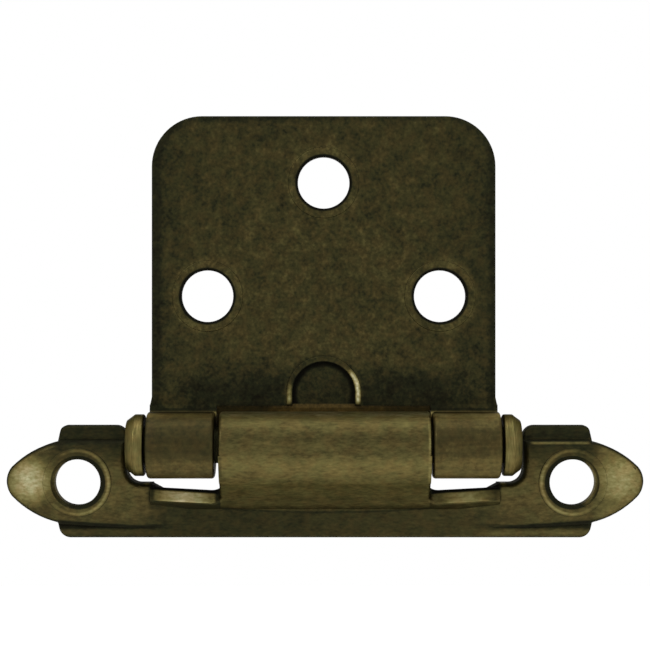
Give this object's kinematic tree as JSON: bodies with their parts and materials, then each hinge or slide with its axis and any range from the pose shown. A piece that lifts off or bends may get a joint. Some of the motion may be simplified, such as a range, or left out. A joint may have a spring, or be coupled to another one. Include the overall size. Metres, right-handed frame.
{
  "type": "self-closing flush hinge",
  "caption": "Stamped steel cabinet door hinge in antique brass finish, with a decorative frame leaf, a flat door leaf, a headed pin and a spring blade that pulls the door shut.",
  "frame": {"origin": "midway between the two frame screws, on the plane that the backs of both leaves lie on", "axes": "+X along the hinge pin, +Z from the frame leaf up to the door leaf, +Y into the cabinet; the decorated front faces -Y"},
  "size_m": [0.0698, 0.0078, 0.0461],
  "materials": {
    "frame_plating": "antique brass plating on stamped steel, rubbed bright on raised edges",
    "door_plating": "dark antique brass plating on stamped steel, fine mottle",
    "pin_plating": "antique brass plating on a headed steel pin",
    "spring_steel": "dark brown plated spring steel"
  },
  "bodies": {
    "frame": {"frame_leaf": "frame_plating"},
    "door": {"door_leaf": "door_plating", "hinge_pin": "pin_plating", "closing_spring": "spring_steel"}
  },
  "joints": [
    {"name": "hinge", "type": "hinge", "parent": "frame", "child": "door", "pos_m": [-0.00015, -0.0042, 0.00418], "axis": [1, 0, 0], "range_deg": [0, 180], "stiffness_Nm_per_rad": 0.02, "springref_deg": -45.84}
  ]
}
